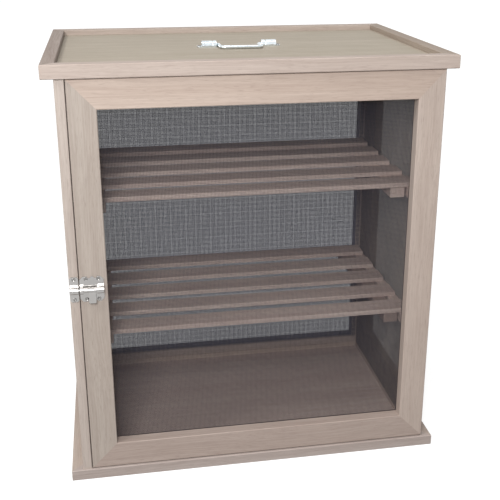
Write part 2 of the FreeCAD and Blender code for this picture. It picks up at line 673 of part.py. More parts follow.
def hinge_leaf(knuckles, toward):
    """One leaf as a solid: pin axis on Z from the foot of the hinge, plate towards +Y or -Y.

    `knuckles` lists the thirds of the height that carry this leaf's knuckles; the plate is cut
    back beside the other leaf's knuckles.
    """
    height = S.hinge_height.value
    third = KNUCKLE.value
    step = third + S.knuckle_gap.value
    inner = -S.pin_axis_out.value
    plate = Part.makeBox(S.leaf_thickness.value, S.leaf_width.value, height, Vector(inner, 0, 0))
    for index in range(3):
        if index in knuckles:
            continue
        low = max(0, index * step - S.knuckle_gap.value)
        high = min(height, index * step + third + S.knuckle_gap.value)
        notch = Part.makeBox(S.leaf_thickness.value * 2, S.knuckle_radius.value + S.knuckle_gap.value,
                             high - low, Vector(inner - S.leaf_thickness.value / 2, 0, low))
        plate = plate.cut(notch)
    for index in knuckles:
        plate = plate.fuse(Part.makeCylinder(S.knuckle_radius.value, third, Vector(0, 0, index * step)))
    plate = plate.cut(Part.makeCylinder(S.pin_radius.value + S.pin_clearance.value, height * 2,
                                        Vector(0, 0, -height / 2)))
    for side in (-1, 1):
        level = height / 2 + side * S.hinge_screw_pitch.value / 2
        hole = Part.makeCylinder(S.screw_radius.value + S.pilot_clearance.value, 4 * S.leaf_thickness.value,
                                 Vector(inner - S.leaf_thickness.value, S.hinge_screw_offset.value, level),
                                 X_AXIS)
        plate = plate.cut(hole)
    if toward < 0:
        plate = plate.mirror(Vector(0, 0, 0), Y_AXIS)
    return plate.removeSplitter()


frame_leaf = hinge_leaf((0, 2), 1)
door_leaf = hinge_leaf((1,), -1)
hinge_feet = [centre - S.hinge_height / 2 for centre in HINGE_CENTRES.values()]
group("hinge_frame_leaves", [placed(frame_leaf, PIN_X, PIN_Y, foot) for foot in hinge_feet])
group("hinge_door_leaves", [placed(door_leaf, PIN_X, PIN_Y, foot) for foot in hinge_feet])
group("hinge_pins", [placed(Part.makeCylinder(S.pin_radius.value, S.hinge_height.value), PIN_X, PIN_Y, foot)
                     for foot in hinge_feet])

# ---------------------------------------------------------------- barrel bolt on the door
bolt_y = FRONT - BOLT_STANDOFF
bolt_z = S.bolt_height_above_floor


def strap(body, name, start, width):
    """A strap over the rod: an arch on two legs, drawn across the rod and padded along it.

    The body's X is along the rod, Y up the door and Z out of the plate.
    """
    sketch = sketch_on(body, "YZ_Plane", name, start)
    arch = sketch.GeometryCount
    radius, centre = STRAP_RADIUS, BOLT_STANDOFF
    half_turn = Part.ArcOfCircle(Part.Circle(Vector(0, centre.value, 0), Z_AXIS, radius.value), 0, math.pi)
    sketch.addGeometry(half_turn, False)
    corners = [(-radius, centre), (-radius, term(0)), (radius, term(0)), (radius, centre)]
    for first, second in zip(corners, corners[1:]):
        sketch.addGeometry(Part.LineSegment(Vector(first[0].value, first[1].value, 0),
                                            Vector(second[0].value, second[1].value, 0)), False)
    sketch.addConstraint(Sketcher.Constraint("Coincident", arch, 2, arch + 1, 1))
    sketch.addConstraint(Sketcher.Constraint("Coincident", arch + 1, 2, arch + 2, 1))
    sketch.addConstraint(Sketcher.Constraint("Coincident", arch + 2, 2, arch + 3, 1))
    sketch.addConstraint(Sketcher.Constraint("Coincident", arch + 3, 2, arch, 1))
    for index, corner in enumerate(corners[:3]):
        locate(sketch, arch + 1 + index, 1, *corner)
    locate(sketch, arch + 3, 2, *corners[3])
    held = sketch.addConstraint(Sketcher.Constraint("DistanceY", -1, 1, arch, 3, centre.value))
    sketch.setExpression("Constraints[%d]" % held, centre.text)
    pad(body, sketch, width)


def clipped(x0, y0, x1, y1, corner):
    """A rectangle with its four corners cut off."""
    return [(x0 + corner, y0), (x1 - corner, y0), (x1, y0 + corner), (x1, y1 - corner),
            (x1 - corner, y1), (x0 + corner, y1), (x0, y1 - corner), (x0, y0 + corner)]


def strapped_plate(name, width, height, corner, straps, clearance, screws, scallops=()):
    """A plate with straps pressed up over the rod, a rod bore, screw holes and scalloped edges."""
    body = new_body(name)
    flat = outline(sketch_on(body, "XY_Plane", "plate"),
                   clipped(term(0), -(height / 2), width, height / 2, corner))
    pad(body, flat, S.bolt_plate_thickness)
    if scallops:
        bites = sketch_on(body, "XY_Plane", "scallops")
        for x in scallops:
            circle(bites, x, height / 2, S.bolt_scallop_radius)
            circle(bites, x, -(height / 2), S.bolt_scallop_radius)
        pocket(body, bites, S.bolt_plate_thickness, reverse=True)
    for index, (start, length) in enumerate(straps):
        strap(body, "strap_%d" % (index + 1), start, length)
    bore = circle(sketch_on(body, "YZ_Plane", "bore"), 0, BOLT_STANDOFF, S.bolt_rod_radius + clearance)
    pocket(body, bore, reverse=True)
    drill(body, "screw_holes", "XY_Plane", screws, S.bolt_plate_thickness, reverse=True)
    return body


screw_rise = S.bolt_plate_height / 2 - S.bolt_screw_inset
bolt_plate = strapped_plate(
    "bolt_plate", S.bolt_plate_width, S.bolt_plate_height, S.bolt_corner,
    [(term(0), S.bolt_front_strap), (S.bolt_plate_width - S.bolt_rear_strap, S.bolt_rear_strap)],
    S.bolt_rod_clearance,
    [(x - DOOR_LEFT, screw_rise * side) for x in bolt_screw_x for side in (-1, 1)],
    [(x * 3 + bolt_screw_x[1 - index]) / 4 - DOOR_LEFT for index, x in enumerate(bolt_screw_x)])
lay(bolt_plate, DOOR_LEFT, FRONT, bolt_z, X_AXIS, Z_AXIS)

keeper_left = -KEEPER_MIDDLE - S.keeper_width / 2
keeper_rise = S.keeper_height / 2 - S.bolt_screw_inset
bolt_keeper = strapped_plate(
    "bolt_keeper", S.keeper_width, S.keeper_height, S.bolt_corner / 2, [(term(0), S.keeper_width)],
    S.keeper_clearance,
    [(S.keeper_width / 2, keeper_rise * side) for side in (-1, 1)])
lay(bolt_keeper, keeper_left, FRONT, bolt_z, X_AXIS, Z_AXIS)

# the rod at rest is drawn clear of the keeper; its tab starts one throw short of the front strap
ROD_LENGTH = S.bolt_plate_width
TAB_LEFT = S.bolt_front_strap + S.bolt_travel + S.knuckle_gap
bolt_rod = new_body("bolt_rod")
pad(bolt_rod, circle(sketch_on(bolt_rod, "YZ_Plane", "round"), 0, 0, S.bolt_rod_radius), ROD_LENGTH)
tab = outline(sketch_on(bolt_rod, "XY_Plane", "tab"),
              eased(rectangle(TAB_LEFT, -S.tab_drop, TAB_LEFT + S.tab_width, 0), (0, 1)))
pad(bolt_rod, tab, S.tab_thickness, symmetric=True)
lay(bolt_rod, DOOR_LEFT, bolt_y, bolt_z, X_AXIS, Z_AXIS)

# ---------------------------------------------------------------- drop handle on the lid
def handle_bracket():
    """A block and an ear with a groove between them, which hold one end of the bail, and a screw flange.

    X runs from the block's outer face towards the handle's middle, Y across, Z up from the panel.
    """
    depth, height = S.block_depth.value, S.block_height.value
    block_length, length = S.block_length.value, BRACKET_LENGTH.value
    flange_length, flange_thickness = S.flange_length.value, S.flange_thickness.value
    spring = height - depth / 2

    def arch(start, run, inset):
        """A bar with a half-round top, smaller all round by the inset."""
        half = depth / 2 - inset
        foot = Part.makePolygon([Vector(start, -half, spring), Vector(start, -half, 0),
                                 Vector(start, half, 0), Vector(start, half, spring)])
        top = Part.Arc(Vector(start, half, spring), Vector(start, 0, spring + half),
                       Vector(start, -half, spring))
        return Part.Face(Part.Wire(foot.Edges + [top.toShape()])).extrude(X_AXIS * run)

    ear_start = block_length + S.ear_groove.value
    neck = arch(0, length, S.ear_groove_depth.value)
    flange = Part.makeBox(flange_length, depth, flange_thickness, Vector(-flange_length, -depth / 2, 0))
    corners = [edge for edge in flange.Edges
               if edge.BoundBox.XMax < -flange_length / 2 and edge.BoundBox.ZLength > flange_thickness / 2]
    flange = flange.makeFillet(depth / 4, corners)
    solid = neck.fuse([arch(0, block_length, 0), arch(ear_start, length - ear_start, 0), flange])
    bore = Part.makeCylinder(S.handle_bar_radius.value + S.handle_bar_clearance.value, length,
                             Vector(length - S.handle_pivot_depth.value - 1, 0, HANDLE_RISE.value), X_AXIS)
    hole = Part.makeCylinder(S.screw_radius.value + S.pilot_clearance.value, flange_thickness * 3,
                             Vector(-flange_length / 2, 0, -flange_thickness))
    return solid.cut(bore).cut(hole).removeSplitter()


bracket = handle_bracket()
group("handle_brackets", [
    placed(bracket, S.handle_centre - S.handle_span / 2, HANDLE_AXIS_Y, LID_PANEL_TOP, X_AXIS, Y_AXIS),
    placed(bracket, S.handle_centre + S.handle_span / 2, HANDLE_AXIS_Y, LID_PANEL_TOP, -X_AXIS, -Y_AXIS),
])


def quarter_bend(corner_x, corner_y, radius, toward_x, toward_y):
    """A quarter turn inside a square corner, from the run along X to the run along Y."""
    halfway = radius * (1 - math.sqrt(0.5))
    return Part.Arc(Vector(corner_x + radius * toward_x, corner_y, 0),
                    Vector(corner_x + halfway * toward_x, corner_y + halfway * toward_y, 0),
                    Vector(corner_x, corner_y + radius * toward_y, 0)).toShape()


def bail_spine():
    """The bail's centre line in one plane: pivots on X, arms towards -Y, grip parallel to X."""
    ear_face = S.handle_span.value / 2 - BRACKET_LENGTH.value
    pivot_end = ear_face + S.handle_pivot_depth.value
    arm = ear_face - S.handle_arm_gap.value - S.handle_bar_radius.value
    pivot_bend, grip_bend = S.handle_pivot_bend.value, S.handle_grip_bend.value
    reach = S.handle_reach.value
    left = [Part.makeLine(Vector(-pivot_end, 0, 0), Vector(-arm - pivot_bend, 0, 0)),
            quarter_bend(-arm, 0, pivot_bend, -1, -1),
            Part.makeLine(Vector(-arm, -pivot_bend, 0), Vector(-arm, grip_bend - reach, 0)),
            quarter_bend(-arm, -reach, grip_bend, 1, 1)]
    right = [edge.mirror(Vector(0, 0, 0), X_AXIS) for edge in left]
    grip = Part.makeLine(Vector(grip_bend - arm, -reach, 0), Vector(arm - grip_bend, -reach, 0))
    return Part.Wire(Part.sortEdges(left + [grip] + right)[0]), pivot_end


spine, pivot_end = bail_spine()
round_bar = Part.Wire(Part.makeCircle(S.handle_bar_radius.value, Vector(-pivot_end, 0, 0), X_AXIS))
handle_bail = doc.addObject("Part::Feature", "handle_bail")
handle_bail.Label = "handle_bail"
handle_bail.Shape = spine.makePipeShell([round_bar], True, True)
handle_bail.Placement = FreeCAD.Placement(
    Vector(S.handle_centre.value, HANDLE_AXIS_Y.value, HANDLE_AXIS_Z.value), FreeCAD.Rotation())
NODES.append(handle_bail)


# ---------------------------------------------------------------- screws
def screw(length):
    """A low-headed screw on Z: its shank goes down from the plate's face, its head stands on it."""
    shank = Part.makeCylinder(S.screw_radius.value, length, Vector(0, 0, -length))
    height, radius = S.screw_head_height.value, S.screw_head_radius.value
    head = Part.makeCone(radius, radius * 0.7, height)
    return head.fuse(shank).removeSplitter()


wood_screw = screw(S.screw_length.value)
lid_screw = screw(S.flange_thickness.value + S.panel_thickness.value)
leaf_face = HALF + S.leaf_thickness
plate_face = FRONT - S.bolt_plate_thickness
frame_screws = [placed(wood_screw, leaf_face, PIN_Y + S.hinge_screw_offset, z, Y_AXIS, Z_AXIS)
                for z in hinge_screw_z]
frame_screws += [placed(wood_screw, -KEEPER_MIDDLE, plate_face, z, X_AXIS, Z_AXIS)
                 for z in keeper_screw_z]
frame_screws += [placed(lid_screw, x, y, LID_PANEL_TOP + S.flange_thickness) for x, y in handle_screw_places]
group("case_screws", frame_screws)
door_screws = [placed(wood_screw, leaf_face, PIN_Y - S.hinge_screw_offset, z, Y_AXIS, Z_AXIS)
               for z in hinge_screw_z]
door_screws += [placed(wood_screw, x, plate_face, z, X_AXIS, Z_AXIS)
                for x in bolt_screw_x for z in bolt_screw_z]
group("door_screws", door_screws)

# ---------------------------------------------------------------- check and write
doc.recompute()
problems = []
for thing in doc.Objects:
    if "Invalid" in thing.State or "Error" in thing.State:
        problems.append("%s is %s" % (thing.Name, thing.State))
    if thing.TypeId == "PartDesign::Pocket" and thing.BaseFeature is not None:
        if thing.Shape.Volume >= thing.BaseFeature.Shape.Volume - 0.01:
            problems.append("%s cuts nothing" % thing.Name)
    if thing.TypeId == "Sketcher::SketchObject" and not thing.FullyConstrained:
        problems.append("%s is not fully constrained" % thing.Name)
for node in NODES:
    if node.Shape.isNull() or not node.Shape.isValid():
        problems.append("%s has no valid shape" % node.Label)
if problems:
    raise RuntimeError("; ".join(problems))
for node in NODES:
    node.Shape.exportStep("parts/%s.step" % node.Label)
print("%d nodes written" % len(NODES))
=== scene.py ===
"""Screened food cupboard: bare wood, fine wire cloth and bright plated hardware.

Metres, +Z up, the door's face towards -Y.  The wooden members and the plated hardware keep the
shapes of the frame; the wire cloth and the screws are modelled here in their place.
"""
import math

import bpy
import numpy as np
from mathutils import Matrix, Vector


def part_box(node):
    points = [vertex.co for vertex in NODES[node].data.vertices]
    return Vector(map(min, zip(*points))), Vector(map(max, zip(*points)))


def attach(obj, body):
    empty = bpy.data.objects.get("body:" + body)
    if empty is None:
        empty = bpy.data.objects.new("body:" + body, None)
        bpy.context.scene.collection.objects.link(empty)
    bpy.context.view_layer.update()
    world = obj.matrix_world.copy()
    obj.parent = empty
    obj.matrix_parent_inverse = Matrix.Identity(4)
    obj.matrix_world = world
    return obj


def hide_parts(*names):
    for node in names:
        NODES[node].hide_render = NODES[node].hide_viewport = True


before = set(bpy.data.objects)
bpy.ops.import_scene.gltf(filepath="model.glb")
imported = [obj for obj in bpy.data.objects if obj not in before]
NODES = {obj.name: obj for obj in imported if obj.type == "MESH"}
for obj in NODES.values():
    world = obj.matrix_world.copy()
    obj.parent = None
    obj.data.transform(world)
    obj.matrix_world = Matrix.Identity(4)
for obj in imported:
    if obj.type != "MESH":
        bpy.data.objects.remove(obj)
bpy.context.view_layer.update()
MM = 0.001


# ---------------------------------------------------------------- camera
IMAGE_SIZE = 500
FOCAL_PIXELS = 868.1
PRINCIPAL_POINT = (263.3, 224.5)
CAMERA_FROM_DOOR = (-0.1776, -1.0282, 0.7194)
CAMERA_PITCH, CAMERA_ROLL, CAMERA_YAW = 1.2330, 0.0025, -0.1779

DOOR_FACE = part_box("door_left_stile")[0].y


def add_camera():
    """The photograph's view: a pinhole camera fitted to the case's corners and edges."""
    data = bpy.data.cameras.new("camera")
    camera = bpy.data.objects.new("camera", data)
    bpy.context.scene.collection.objects.link(camera)
    turn = (Matrix.Rotation(CAMERA_YAW, 4, "Z") @ Matrix.Rotation(CAMERA_PITCH, 4, "X")
            @ Matrix.Rotation(CAMERA_ROLL, 4, "Z"))
    x, y, z = CAMERA_FROM_DOOR
    camera.matrix_world = Matrix.Translation((x, DOOR_FACE + y, z)) @ turn
    data.sensor_width = 36
    data.lens = FOCAL_PIXELS / IMAGE_SIZE * data.sensor_width
    data.shift_x = (IMAGE_SIZE / 2 - PRINCIPAL_POINT[0]) / IMAGE_SIZE
    data.shift_y = (PRINCIPAL_POINT[1] - IMAGE_SIZE / 2) / IMAGE_SIZE
    data.clip_start = 0.05
    bpy.context.scene.camera = camera


add_camera()


# ---------------------------------------------------------------- node helpers
def linear(red, green, blue):
    """A screen colour of 0 to 255 as the linear colour that the shaders take."""
    def one(value):
        value /= 255
        return value / 12.92 if value <= 0.04045 else ((value + 0.055) / 1.055) ** 2.4
    return (one(red), one(green), one(blue), 1.0)


class Tree:
    """Short calls for building a node tree."""

    def __init__(self, tree):
        self.tree = tree

    def add(self, kind, **settings):
        node = self.tree.nodes.new(kind)
        for name, value in settings.items():
            setattr(node, name, value)
        return node

    def feed(self, socket, value):
        """Join an output to a socket, or set the socket's own value."""
        if isinstance(value, bpy.types.NodeSocket):
            self.tree.links.new(value, socket)
        elif value is not None:
            socket.default_value = value

    def math(self, operation, first, second):
        node = self.add("ShaderNodeMath", operation=operation)
        self.feed(node.inputs[0], first)
        self.feed(node.inputs[1], second)
        return node.outputs[0]

    def stretch(self, vector, along, across):
        """Coordinates scaled along X and across it, so that a noise becomes streaks along X."""
        node = self.add("ShaderNodeVectorMath", operation="MULTIPLY")
        self.feed(node.inputs[0], vector)
        node.inputs[1].default_value = (along, across, across)
        return node.outputs[0]

    def noise(self, vector, scale=1.0, detail=1.0, roughness=0.5):
        node = self.add("ShaderNodeTexNoise")
        self.feed(node.inputs["Vector"], vector)
        node.inputs["Scale"].default_value = scale
        node.inputs["Detail"].default_value = detail
        node.inputs["Roughness"].default_value = roughness
        return node.outputs["Fac"]

    def spread(self, value, low, high, new_low=0.0, new_high=1.0):
        """The value carried from one range to another, smoothly and held at both ends."""
        node = self.add("ShaderNodeMapRange", interpolation_type="SMOOTHSTEP")
        self.feed(node.inputs["Value"], value)
        for socket, number in zip(node.inputs[1:5], (low, high, new_low, new_high)):
            socket.default_value = number
        return node.outputs["Result"]

    def blend(self, factor, first, second):
        """The first colour where the factor is zero, the second where it is one."""
        node = self.add("ShaderNodeMix", data_type="RGBA")
        self.feed(node.inputs["Factor"], factor)
        self.feed(node.inputs["A"], first)
        self.feed(node.inputs["B"], second)
        return node.outputs["Result"]

    def bump(self, height, strength, distance):
        node = self.add("ShaderNodeBump")
        self.feed(node.inputs["Height"], height)
        node.inputs["Strength"].default_value = strength
        node.inputs["Distance"].default_value = distance
        return node.outputs["Normal"]


def new_group(name, inputs, outputs):
    """An empty shader node group with named sockets.

    Returns the group, its tree, what it is given and the sockets that take its results.
    """
    group = bpy.data.node_groups.new(name, "ShaderNodeTree")
    for label, kind, value in inputs:
        socket = group.interface.new_socket(label, in_out="INPUT", socket_type=kind)
        if value is not None:
            socket.default_value = value
    for label, kind in outputs:
        group.interface.new_socket(label, in_out="OUTPUT", socket_type=kind)
    tree = Tree(group)
    entry = tree.add("NodeGroupInput")
    leave = tree.add("NodeGroupOutput")
    return group, tree, entry.outputs, leave.inputs


def wood_figure_group():
    """Growth bands, fibre and pores of planed wood whose grain runs along the vector's X axis.

    Tone is the slow change from board to board, Band the growth rings cut lengthwise, Fibre the fine
    streaks and Pore the short dark flecks.
    """
    group, tree, given, result = new_group(
        "Wood figure",
        [("Vector", "NodeSocketVector", None), ("Band width", "NodeSocketFloat", 1.0)],
        [("Tone", "NodeSocketFloat"), ("Band", "NodeSocketFloat"), ("Fibre", "NodeSocketFloat"),
         ("Pore", "NodeSocketFloat")])
    place = given["Vector"]
    wander = tree.noise(tree.stretch(place, 3.5, 9))
    sideways = tree.add("ShaderNodeCombineXYZ")
    tree.feed(sideways.inputs["Y"], tree.math("MULTIPLY", wander, 0.022))
    tree.feed(sideways.inputs["Z"], tree.math("MULTIPLY", wander, 0.018))
    bent = tree.add("ShaderNodeVectorMath", operation="ADD")
    tree.feed(bent.inputs[0], place)
    tree.feed(bent.inputs[1], sideways.outputs[0])
    bent = bent.outputs[0]
    scaled = tree.add("ShaderNodeVectorMath", operation="DIVIDE")
    tree.feed(scaled.inputs[0], tree.stretch(bent, 1.6, 85))
    widths = tree.add("ShaderNodeCombineXYZ")
    for axis in "XYZ":
        tree.feed(widths.inputs[axis], given["Band width"])
    tree.feed(scaled.inputs[1], widths.outputs[0])
    tree.feed(result["Tone"], tree.spread(tree.noise(tree.stretch(place, 1.2, 14)), 0.3, 0.7))
    tree.feed(result["Band"], tree.spread(tree.noise(scaled.outputs[0], detail=2.0), 0.32, 0.68))
    tree.feed(result["Fibre"], tree.noise(tree.stretch(bent, 14, 620), detail=3.0, roughness=0.6))
    flecks = tree.noise(tree.stretch(bent, 70, 1500))
    tree.feed(result["Pore"], tree.spread(flecks, 0.60, 0.72))
    return group


def handling_group():
    """Soft smudges, as hands and dust leave them, finer mottling, and a pressed sheet's ripple."""
    group, tree, given, result = new_group(
        "Handling marks", [("Vector", "NodeSocketVector", None)],
        [("Smudge", "NodeSocketFloat"), ("Mottle", "NodeSocketFloat"), ("Ripple", "NodeSocketFloat")])
    tree.feed(result["Smudge"], tree.spread(tree.noise(given["Vector"], 9, 3.0, 0.55), 0.35, 0.7))
    tree.feed(result["Mottle"], tree.noise(given["Vector"], 160, 3.0, 0.6))
    tree.feed(result["Ripple"], tree.noise(given["Vector"], 190, 1.0, 0.5))
    return group


WOOD_FIGURE = wood_figure_group()
HANDLING = handling_group()


def new_material(name):
    material = bpy.data.materials.new(name)
    material.use_nodes = True
    tree = Tree(material.node_tree)
    shader = material.node_tree.nodes["Principled BSDF"]
    return material, tree, shader.inputs


def place_group(tree, group, **values):
    """A group placed in a tree; an underscore in a value's name stands for a space in the socket's."""
    node = tree.add("ShaderNodeGroup", node_tree=group)
    for name, value in values.items():
        tree.feed(node.inputs[name.replace("_", " ")], value)
    return node.outputs


# the turn that carries each axis of the cupboard to the wood figure's X axis
GRAIN_TURNS = {"x": (0, 0, 0), "y": (0, 0, -math.pi / 2), "z": (0, math.pi / 2, 0)}


def shaded(colour, tone):
    """A linear colour times a tone: one number, or one each for red, green and blue."""
    tone = np.broadcast_to(tone, 3)
    return tuple(channel * factor for channel, factor in zip(colour, tone)) + (1.0,)


WOOD_ROUGHNESS = (0.58, 0.74)


def wood(name, axis, colours, tone=1.0, band_width=1.0, band_depth=0.55, offset=0.0):
    """Bare planed wood with its grain along one axis of the cupboard."""
    material, tree, shader = new_material(name)
    light, dark, pore = (shaded(colour[:3], tone) for colour in colours)
    place = tree.add("ShaderNodeTexCoord").outputs["Object"]
    turned = tree.add("ShaderNodeMapping")
    tree.feed(turned.inputs["Vector"], place)
    turned.inputs["Rotation"].default_value = GRAIN_TURNS[axis]
    turned.inputs["Location"].default_value = (offset, offset * 1.7, offset * 0.6)
    figure = place_group(tree, WOOD_FIGURE, Vector=turned.outputs[0], Band_width=band_width)
    marks = place_group(tree, HANDLING, Vector=place)
    colour = tree.blend(tree.math("MULTIPLY", figure["Band"], band_depth), light, dark)
    colour = tree.blend(tree.spread(figure["Tone"], 0, 1, 0, 0.35), colour, dark)
    fibre = tree.spread(figure["Fibre"], 0.3, 0.7, 0.0, 0.30)
    colour = tree.blend(fibre, colour, pore)
    colour = tree.blend(tree.math("MULTIPLY", figure["Pore"], 0.45), colour, pore)
    colour = tree.blend(tree.math("MULTIPLY", marks["Smudge"], 0.10), colour, pore)
    tree.feed(shader["Base Color"], colour)
    tree.feed(shader["Roughness"], tree.spread(figure["Fibre"], 0.3, 0.7, *WOOD_ROUGHNESS))
    height = tree.math("SUBTRACT", tree.math("MULTIPLY", figure["Fibre"], 0.5),
                       tree.math("MULTIPLY", figure["Pore"], 0.5))
    tree.feed(shader["Normal"], tree.bump(height, 0.35, 0.15 * MM))
    return material


# each wood's light, dark and pore colours
FRAME = [linear(189, 175, 164), linear(172, 156, 145), linear(142, 126, 116)]
PANEL = [linear(184, 174, 158), linear(172, 160, 143), linear(145, 132, 116)]
# partly painted light: the rack's and floor's wood is paler than the frame's, partly its own colour
# and partly lifted for the dimmer light inside the case; SLAT_WOOD and FLOOR_WOOD raise it a little
# more
INSIDE_WOOD_PAINTED_LIGHTER = [linear(211, 194, 184), linear(193, 172, 162), linear(155, 133, 124)]

WOOD_ALONG = {axis: wood("frame_wood_" + axis, axis, FRAME) for axis in "xyz"}
SLAT_WOOD = {axis: wood("rack_wood_" + axis, axis, INSIDE_WOOD_PAINTED_LIGHTER, tone=1.05, band_width=0.7, band_depth=0.7,
                        offset=0.31) for axis in "xy"}
LID_WOOD = wood("lid_board", "x", PANEL, tone=0.95, band_width=1.8, band_depth=0.6, offset=0.57)
FLOOR_WOOD = wood("floor_board", "x", INSIDE_WOOD_PAINTED_LIGHTER, tone=1.02, band_width=1.8, band_depth=0.6, offset=0.83)

# members given a tone of their own: grain axis, tone in red, green and blue; the front is lighter at
# the door's top rail and darker at the door's bottom rail and the base's front edge, and the lid's
# side edges, lower_batten_right and door_screen_beads are darkened as painted shade
MEMBER_TONES_AND_PAINTED_SHADE = {
    "lid_edge_front": ("x", (1.06, 1.06, 1.08)),
    # painted shade: the lid's left and right edges are darkened for how their top faces look in the
    # light
    "lid_edge_left": ("y", (0.70, 0.68, 0.68)),
    "lid_edge_right": ("y", (0.76, 0.74, 0.69)),
    "left_front_stile": ("z", (1.04, 1.07, 1.10)),
    "door_left_stile": ("z", (0.92, 0.95, 0.96)),
    "door_top_rail": ("x", (1.07, 1.03, 1.01)),
    "door_right_stile": ("z", (1.03, 1.02, 1.03)),
    "door_bottom_rail": ("x", (0.88, 0.85, 0.86)),
    "base_edge_front": ("x", (0.90, 0.91, 0.96)),
    "base_edge_rear": ("x", (1.15, 1.12, 1.08)),
    # painted shade: lower_batten_right is darkened for the shadow it lies in
    "lower_batten_right": ("y", (0.72, 0.66, 0.66)),
    # painted shade: the beads behind the door's cloth are made dark, so that the lower bead shows as a
    # shaded line above the bottom rail
    "door_screen_beads": ("x", (0.30, 0.28, 0.28)),
}


def plating(name, bright, dull, rough):
    """Plated steel: clear reflections, a little duller where it is handled."""
    material, tree, shader = new_material(name)
    place = tree.add("ShaderNodeTexCoord").outputs["Object"]
    marks = place_group(tree, HANDLING, Vector=place)
    colour = tree.blend(marks["Smudge"], bright, dull)
    tree.feed(shader["Base Color"], colour)
    shader["Metallic"].default_value = 1.0
    tree.feed(shader["Roughness"], tree.spread(marks["Mottle"], 0.3, 0.7, *rough))
    tree.feed(shader["Normal"], tree.bump(marks["Ripple"], 0.45, 0.6 * MM))
    return material


def wire_finish(name, clean, dusty):
    """Coated wire, a little uneven along its length."""
    material, tree, shader = new_material(name)
    place = tree.add("ShaderNodeTexCoord").outputs["Object"]
    marks = place_group(tree, HANDLING, Vector=place)
    tree.feed(shader["Base Color"], tree.blend(marks["Mottle"], clean, dusty))
    shader["Specular IOR Level"].default_value = 0.3
    tree.feed(shader["Roughness"], tree.spread(marks["Mottle"], 0.3, 0.7, 0.5, 0.65))
    return material


def fine_threads(name, cover, clean, dusty):
    """A cloth's finer threads, too thin to model: a sheet that covers a share of what is behind it;
    the sheets made below also carry painted shade on the back and painted light on the sides.
    """
    material, tree, shader = new_material(name)
    place = tree.add("ShaderNodeTexCoord").outputs["Object"]
    marks = place_group(tree, HANDLING, Vector=place)
    tree.feed(shader["Base Color"], tree.blend(marks["Smudge"], clean, dusty))
    shader["Alpha"].default_value = cover
    shader["Specular IOR Level"].default_value = 0.0
    shader["Roughness"].default_value = 0.9
    return material


# bolt, hinges and screws; then the brighter handle. The same plating twice, with painted reflection in
# its colour: the first darker and greyer, the second lighter and bluer
PLATING_PAINTED_DARK = plating("plating_painted_dark", linear(166, 164, 162), linear(140, 138, 136), (0.06, 0.14))
PLATING_PAINTED_BRIGHT = plating("plating_painted_bright", linear(236, 243, 246), linear(212, 221, 226), (0.10, 0.20))
# the cloths' wires, and the finer threads between those of the back and the sides; the side wires'
# lighter colour is painted sheen, the back threads' sheet also carries painted shade and the side
# threads' sheet painted light
WIRE = wire_finish("coated_wire", linear(66, 68, 76), linear(52, 54, 62))
DOOR_WIRE = wire_finish("door_wire", linear(58, 58, 70), linear(46, 46, 58))
# painted sheen: the side wires are a lighter brown than the same wire elsewhere, for how they catch
# the light
SIDE_WIRE_PAINTED_SHEEN = wire_finish("side_wire_painted_sheen", linear(108, 100, 93), linear(92, 85, 79))
# partly painted shade: the back's sheet stands for finer threads, and its cover and dark blue-grey
# also darken the view through the back cloth as shade would
BACK_THREADS_AND_SHADE = fine_threads("back_threads_painted_shade", 0.71, linear(94, 94, 112), linear(82, 82, 97))
# painted light: the side's sheet is pale beige, for light coming through the side cloths
SIDE_THREADS_AND_LIGHT = fine_threads("side_threads_painted_light", 0.87, linear(170, 158, 146), linear(154, 143, 131))


# ---------------------------------------------------------------- finishes of the frame's own pieces
def finish(node, material):
    """One material for a whole node."""
    mesh = NODES[node].data
    mesh.materials.clear()
    mesh.materials.append(material)


def longest_axis(node):
    """The axis along which a straight member is longest, as its grain runs."""
    low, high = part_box(node)
    size = high - low
    return "xyz"[max(range(3), key=lambda index: size[index])]


for node in NODES:
    if node.endswith(("_screen", "_screws")):
        continue
    if node == "lid_panel":
        finish(node, LID_WOOD)
    elif node == "floor_panel":
        finish(node, FLOOR_WOOD)
    elif node.startswith("handle_"):
        finish(node, PLATING_PAINTED_BRIGHT)
    elif node.startswith(("hinge_", "bolt_")):
        finish(node, PLATING_PAINTED_DARK)
    elif node in MEMBER_TONES_AND_PAINTED_SHADE:
        axis, tone = MEMBER_TONES_AND_PAINTED_SHADE[node]
        finish(node, wood(node + "_wood", axis, FRAME, tone))
    elif "slat" in node or "batten" in node or "cleat" in node:
        finish(node, SLAT_WOOD[longest_axis(node)])
    else:
        finish(node, WOOD_ALONG[longest_axis(node)])


# ---------------------------------------------------------------- new pieces
def piece(name, points, faces, material, body, replaced):
    """A mesh in place on its body, standing for the named node."""
    mesh = bpy.data.meshes.new(name)
    mesh.from_pydata(points.reshape(-1, 3).tolist(), [], faces)
    mesh.materials.append(material)
    made = bpy.data.objects.new(name, mesh)
    bpy.context.scene.collection.objects.link(made)
    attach(made, body)
    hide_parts(replaced)
    return made


WIRE_SIDES = 6
MESH_PITCH = 1.75 * MM
DOOR_WIRE_WIDTH, BACK_WIRE_WIDTH, SIDE_WIRE_WIDTH = 0.30 * MM, 0.46 * MM, 0.32 * MM
CLOTH_LAP = 3 * MM


def opening(stiles, rails):
    """The lowest and highest corners of the opening between two stiles and two rails.

    The stiles stand apart along one axis, and the opening lies between their facing sides there, and
    between the lower rail's top and the upper rail's underside.
    """
    near, far = ([np.array(corner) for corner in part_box(node)] for node in stiles)
    lower, upper = (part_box(node) for node in rails)
    low, high = near[0].copy(), far[1].copy()
    apart = int(np.argmax(far[0] - near[0]))
    low[apart], high[apart] = near[1][apart], far[0][apart]
    low[2], high[2] = lower[1].z, upper[0].z
    return low, high


